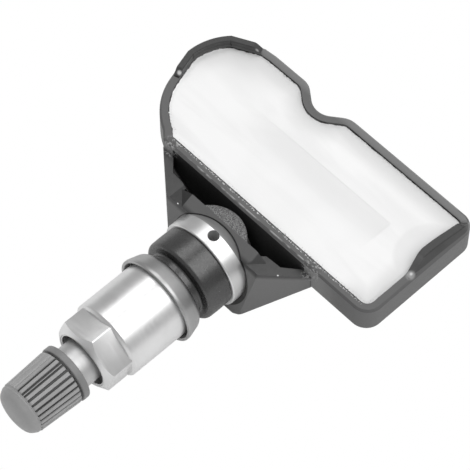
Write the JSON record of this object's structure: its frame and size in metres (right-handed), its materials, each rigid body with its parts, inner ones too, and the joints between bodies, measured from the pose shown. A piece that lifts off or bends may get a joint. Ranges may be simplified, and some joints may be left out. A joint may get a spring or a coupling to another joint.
{
  "type": "tyre pressure sensor",
  "caption": "Clamp-in tyre pressure sensor: capped metal valve with hex nut and rubber grommet on a potted grey housing with one round and one square end.",
  "frame": {"origin": "on the valve axis, at the face of the stem's collar that the rubber grommet seats on", "axes": "-Y along the valve axis towards the cap, +Y towards the housing, +X towards the housing's square end, +Z out of the open side that is filled with potting"},
  "size_m": [0.0577, 0.0757, 0.017],
  "materials": {
    "housing_plastic": "fine grained glass-filled nylon",
    "potting_compound": "cast, glossy, slightly wavy",
    "stem_aluminium": "satin, fine turning lines",
    "nut_steel": "dull grained zinc",
    "black_rubber": "satin moulded",
    "washer_aluminium": "satin turned",
    "nut_aluminium": "bright satin turned",
    "cap_plastic": "fine matt",
    "core_brass": "bright turned",
    "seal_rubber": "satin moulded",
    "spring_steel": "drawn wire",
    "board_laminate": "lacquered laminate",
    "battery_steel": "nickel plated can",
    "tab_nickel": "rolled nickel strip",
    "chip_plastic": "moulded package",
    "gasket_rubber": "soft moulded",
    "ferrite": "sintered ferrite",
    "copper_wire": "enamelled winding",
    "antenna_brass": "rolled strip",
    "crystal_can": "plated can",
    "capacitor_ceramic": "sintered ceramic"
  },
  "bodies": {
    "sensor": {"housing": "housing_plastic", "potting": "potting_compound", "valve_stem": "stem_aluminium", "rear_nut": "nut_steel", "grommet": "black_rubber", "core_body": "core_brass", "core_seal": "seal_rubber", "core_spring": "spring_steel", "circuit_board": "board_laminate", "battery": "battery_steel", "upper_battery_tab": "tab_nickel", "lower_battery_tab": "tab_nickel", "pressure_chip": "chip_plastic", "port_gasket": "gasket_rubber", "coil_core": "ferrite", "coil_winding": "copper_wire", "antenna": "antenna_brass", "crystal": "crystal_can", "capacitors": "capacitor_ceramic"},
    "cap_carrier": {"cap_seal": "black_rubber"},
    "cap": {"valve_cap": "cap_plastic"},
    "washer": {"washer": "washer_aluminium"},
    "nut": {"hex_nut": "nut_aluminium"},
    "pin": {"core_pin": "core_brass", "poppet_seal": "seal_rubber"}
  },
  "joints": [
    {"name": "cap_lift", "type": "slide", "parent": "sensor", "child": "cap_carrier", "axis": [0, -1, 0], "range_m": [0, 0.00714]},
    {"name": "cap_turn", "type": "hinge", "parent": "cap_carrier", "child": "cap", "pos_m": [0, -0.034, 0], "axis": [0, -1, 0], "range_deg": [0, 3240]},
    {"name": "washer_slide", "type": "slide", "parent": "sensor", "child": "washer", "axis": [0, -1, 0], "range_m": [0, 0.00225]},
    {"name": "nut_turn", "type": "hinge", "parent": "washer", "child": "nut", "pos_m": [0, -0.017, 0], "axis": [0, -1, 0], "range_deg": [0, 1080]},
    {"name": "pin_press", "type": "slide", "parent": "sensor", "child": "pin", "axis": [0, 1, 0], "range_m": [0, 0.0013], "stiffness_N_per_m": 900, "springref_m": -0.002, "deforming": ["core_spring"]}
  ],
  "couplings": [
    {"joint": "cap_turn", "follows": "cap_lift", "rad_per_m": 7915.8},
    {"joint": "nut_turn", "follows": "washer_slide", "rad_per_m": 8377.6}
  ]
}
